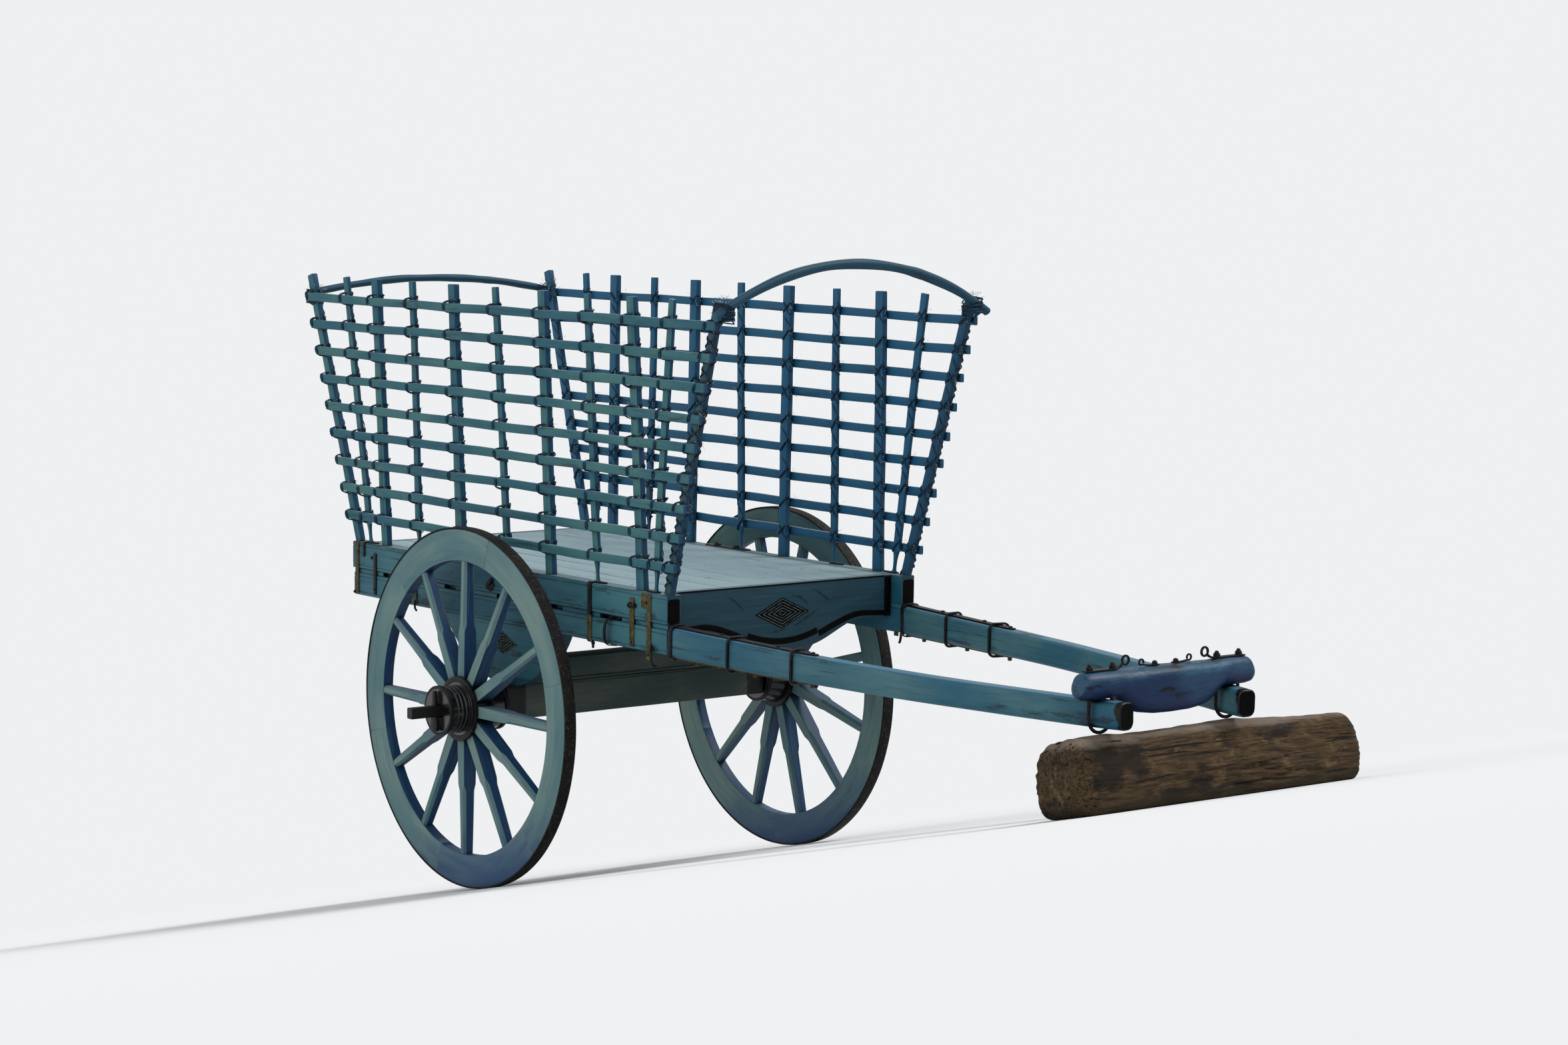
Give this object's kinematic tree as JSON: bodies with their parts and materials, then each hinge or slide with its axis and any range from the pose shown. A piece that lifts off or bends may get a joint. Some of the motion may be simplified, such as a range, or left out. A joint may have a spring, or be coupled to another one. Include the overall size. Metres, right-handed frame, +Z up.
{
  "type": "bullock cart",
  "caption": "Two-wheeled wooden bullock cart with spoked wheels, lashed lattice sides, bowed end poles, twin shafts and a yoke, parked with its shafts on a log.",
  "frame": {"origin": "middle of the whole parked cart's box, on the floor", "axes": "+X forward along the cart towards the yoke, +Y to the cart's left, +Z up from the floor"},
  "size_m": [4.5532, 2.214, 2.7971],
  "materials": {
    "wheel_paint": "worn blue-grey paint on wood",
    "body_paint": "worn blue paint on wood",
    "lattice_paint": "worn blue paint on wood",
    "deck_paint": "sun-bleached blue paint on planks",
    "black_paint": "black paint and grease on turned wood",
    "iron": "black forged iron with rust",
    "rusted_strap": "olive-brown rusted flat iron",
    "log_wood": "weathered bare timber"
  },
  "bodies": {
    "cart": {"linchpin_left": "iron", "linchpin_right": "iron", "side_rail_left": "body_paint", "side_rail_right": "body_paint", "lower_rail_left": "body_paint", "lower_rail_right": "body_paint", "rail_strip_left": "body_paint", "rail_strip_right": "body_paint", "cheek_left": "body_paint", "cheek_right": "body_paint", "uprights_left": "lattice_paint", "uprights_right": "lattice_paint", "lattice_rails_left": "lattice_paint", "lattice_rails_right": "lattice_paint", "upright_feet_left": "iron", "upright_feet_right": "iron", "shaft_left": "body_paint", "shaft_right": "body_paint", "shaft_plates_left": "iron", "shaft_plates_right": "iron", "shaft_bands_left": "iron", "shaft_bands_right": "iron", "side_straps_left": "rusted_strap", "side_straps_right": "rusted_strap", "axle_tree": "body_paint", "axle_bolster": "body_paint", "front_board": "body_paint", "rear_board": "body_paint", "cross_bearers": "body_paint", "deck_planks": "deck_paint", "front_bow": "lattice_paint", "rear_bow": "lattice_paint", "yoke": "body_paint", "yoke_ubolts": "iron", "yoke_eyes": "iron", "yoke_hooks": "iron", "rest_log": "log_wood"},
    "wheel_left": {"tyre_left": "iron", "felloes_left": "wheel_paint", "spokes_left": "wheel_paint", "nave_left": "black_paint", "nave_hoops_left": "iron"},
    "wheel_right": {"tyre_right": "iron", "felloes_right": "wheel_paint", "spokes_right": "wheel_paint", "nave_right": "black_paint", "nave_hoops_right": "iron"}
  },
  "joints": [
    {"name": "wheel_left_spin", "type": "hinge", "parent": "cart", "child": "wheel_left", "pos_m": [-1.113, 0.825, 0.75], "axis": [0, 1, 0], "continuous": true},
    {"name": "wheel_right_spin", "type": "hinge", "parent": "cart", "child": "wheel_right", "pos_m": [-1.113, -0.825, 0.75], "axis": [0, 1, 0], "continuous": true}
  ]
}
